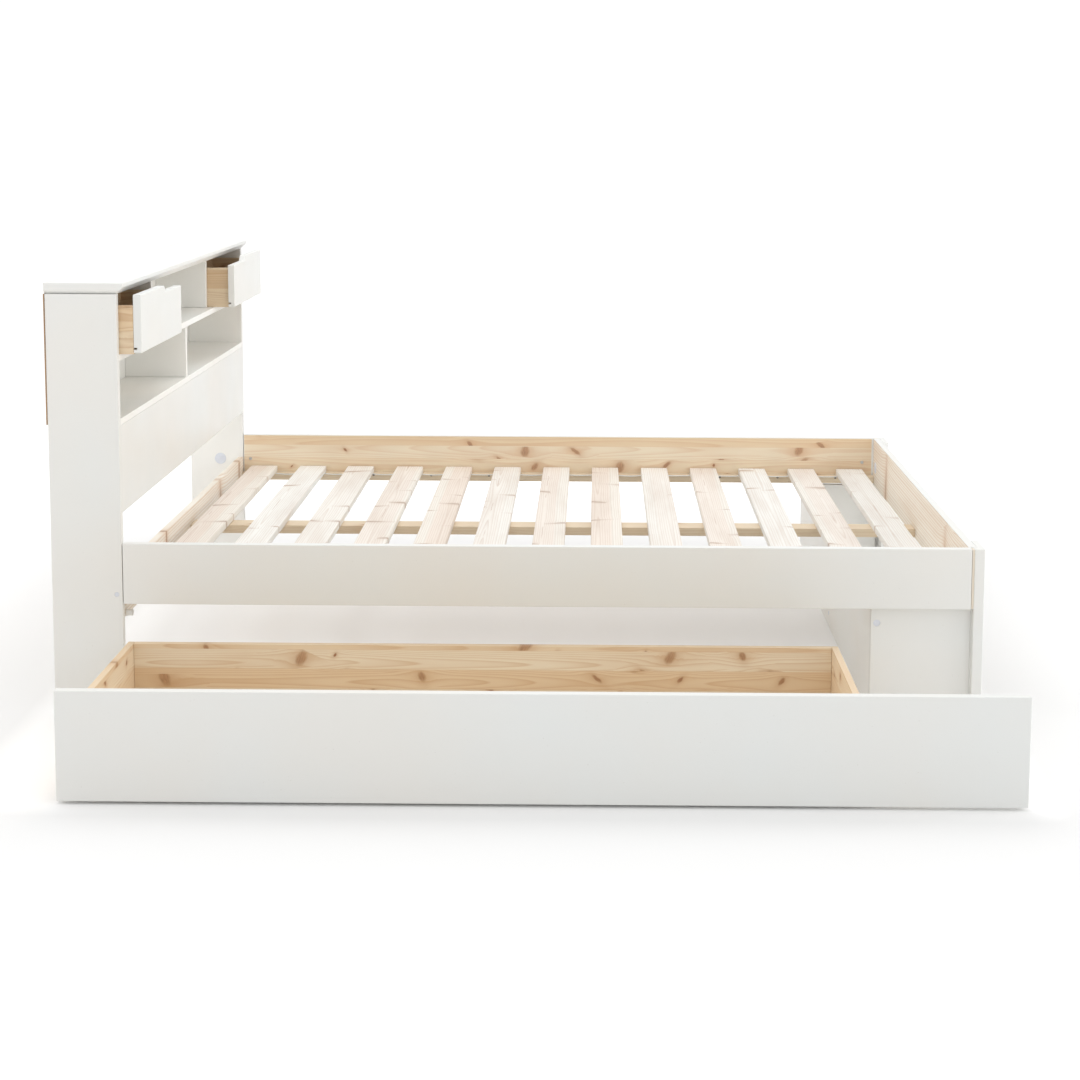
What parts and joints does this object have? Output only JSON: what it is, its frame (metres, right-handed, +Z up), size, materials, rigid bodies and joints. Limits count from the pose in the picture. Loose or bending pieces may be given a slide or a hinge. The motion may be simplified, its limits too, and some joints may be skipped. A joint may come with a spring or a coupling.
{
  "type": "trundle bed",
  "caption": "Bed with a slatted base, a bookcase headboard with sliding drawers and cubbies, and a low storage trundle that rolls out from under one side.",
  "frame": {"origin": "on the floor, under the middle of the bed's box with the trundle and both drawers part way open", "axes": "+X from the headboard to the foot, +Z up, -Y towards the side where the trundle rolls out"},
  "size_m": [2.1118, 2.003, 0.98],
  "materials": {
    "white_paint": "satin white paint on board",
    "pine": "bare planed pine",
    "hardboard": "bare brown hardboard",
    "plywood": "bare plywood",
    "zinc_steel": "zinc plated",
    "white_nylon": "satin moulded nylon"
  },
  "bodies": {
    "bed": {"filler_panel_far": "white_paint", "filler_panel_near": "white_paint", "foot_post_far": "white_paint", "foot_post_near": "white_paint", "footboard_rail": "white_paint", "guide_panel": "white_paint", "head_rail": "pine", "headboard_back_panel": "hardboard", "headboard_end_far": "white_paint", "headboard_end_near": "white_paint", "headboard_front_panel": "white_paint", "headboard_top": "white_paint", "lower_divider": "white_paint", "lower_shelf": "white_paint", "mid_beam": "pine", "side_rail_far": "white_paint", "side_rail_near": "white_paint", "slat_01": "pine", "slat_02": "pine", "slat_03": "pine", "slat_04": "pine", "slat_05": "pine", "slat_06": "pine", "slat_07": "pine", "slat_08": "pine", "slat_09": "pine", "slat_10": "pine", "slat_11": "pine", "slat_12": "pine", "slat_13": "pine", "slat_ledger_far": "pine", "slat_ledger_near": "pine", "trundle_stop": "white_nylon", "upper_divider_far": "white_paint", "upper_divider_near": "white_paint", "upper_shelf": "white_paint"},
    "trundle": {"caster_bracket_back_foot": "zinc_steel", "caster_bracket_back_head": "zinc_steel", "caster_bracket_front_foot": "zinc_steel", "caster_bracket_front_head": "zinc_steel", "trundle_back": "pine", "trundle_base": "plywood", "trundle_end_foot": "pine", "trundle_end_head": "pine", "trundle_front": "white_paint"},
    "near_drawer": {"near_drawer_back": "pine", "near_drawer_bottom": "hardboard", "near_drawer_front": "white_paint", "near_drawer_inner_side": "pine", "near_drawer_outer_side": "pine"},
    "far_drawer": {"far_drawer_back": "pine", "far_drawer_bottom": "hardboard", "far_drawer_front": "white_paint", "far_drawer_inner_side": "pine", "far_drawer_outer_side": "pine"},
    "wheel_back_foot": {"caster_wheel_back_foot": "white_nylon"},
    "wheel_back_head": {"caster_wheel_back_head": "white_nylon"},
    "wheel_front_foot": {"caster_wheel_front_foot": "white_nylon"},
    "wheel_front_head": {"caster_wheel_front_head": "white_nylon"}
  },
  "joints": [
    {"name": "trundle_roll", "type": "slide", "parent": "bed", "child": "trundle", "axis": [0, -1, 0], "range_m": [-0.563, 0.1]},
    {"name": "near_drawer_slide", "type": "slide", "parent": "bed", "child": "near_drawer", "axis": [1, 0, 0], "range_m": [-0.05, 0.05]},
    {"name": "far_drawer_slide", "type": "slide", "parent": "bed", "child": "far_drawer", "axis": [1, 0, 0], "range_m": [-0.06, 0.04]},
    {"name": "wheel_spin_back_foot", "type": "hinge", "parent": "trundle", "child": "wheel_back_foot", "pos_m": [0.6549, -0.5315, 0.02], "axis": [1, 0, 0], "continuous": true},
    {"name": "wheel_spin_back_head", "type": "hinge", "parent": "trundle", "child": "wheel_back_head", "pos_m": [-0.8059, -0.5315, 0.02], "axis": [1, 0, 0], "continuous": true},
    {"name": "wheel_spin_front_foot", "type": "hinge", "parent": "trundle", "child": "wheel_front_foot", "pos_m": [0.6549, -0.9115, 0.02], "axis": [1, 0, 0], "continuous": true},
    {"name": "wheel_spin_front_head", "type": "hinge", "parent": "trundle", "child": "wheel_front_head", "pos_m": [-0.8059, -0.9115, 0.02], "axis": [1, 0, 0], "continuous": true}
  ],
  "couplings": [
    {"joint": "wheel_spin_back_foot", "follows": "trundle_roll", "rad_per_m": 50},
    {"joint": "wheel_spin_back_head", "follows": "trundle_roll", "rad_per_m": 50},
    {"joint": "wheel_spin_front_foot", "follows": "trundle_roll", "rad_per_m": 50},
    {"joint": "wheel_spin_front_head", "follows": "trundle_roll", "rad_per_m": 50}
  ]
}
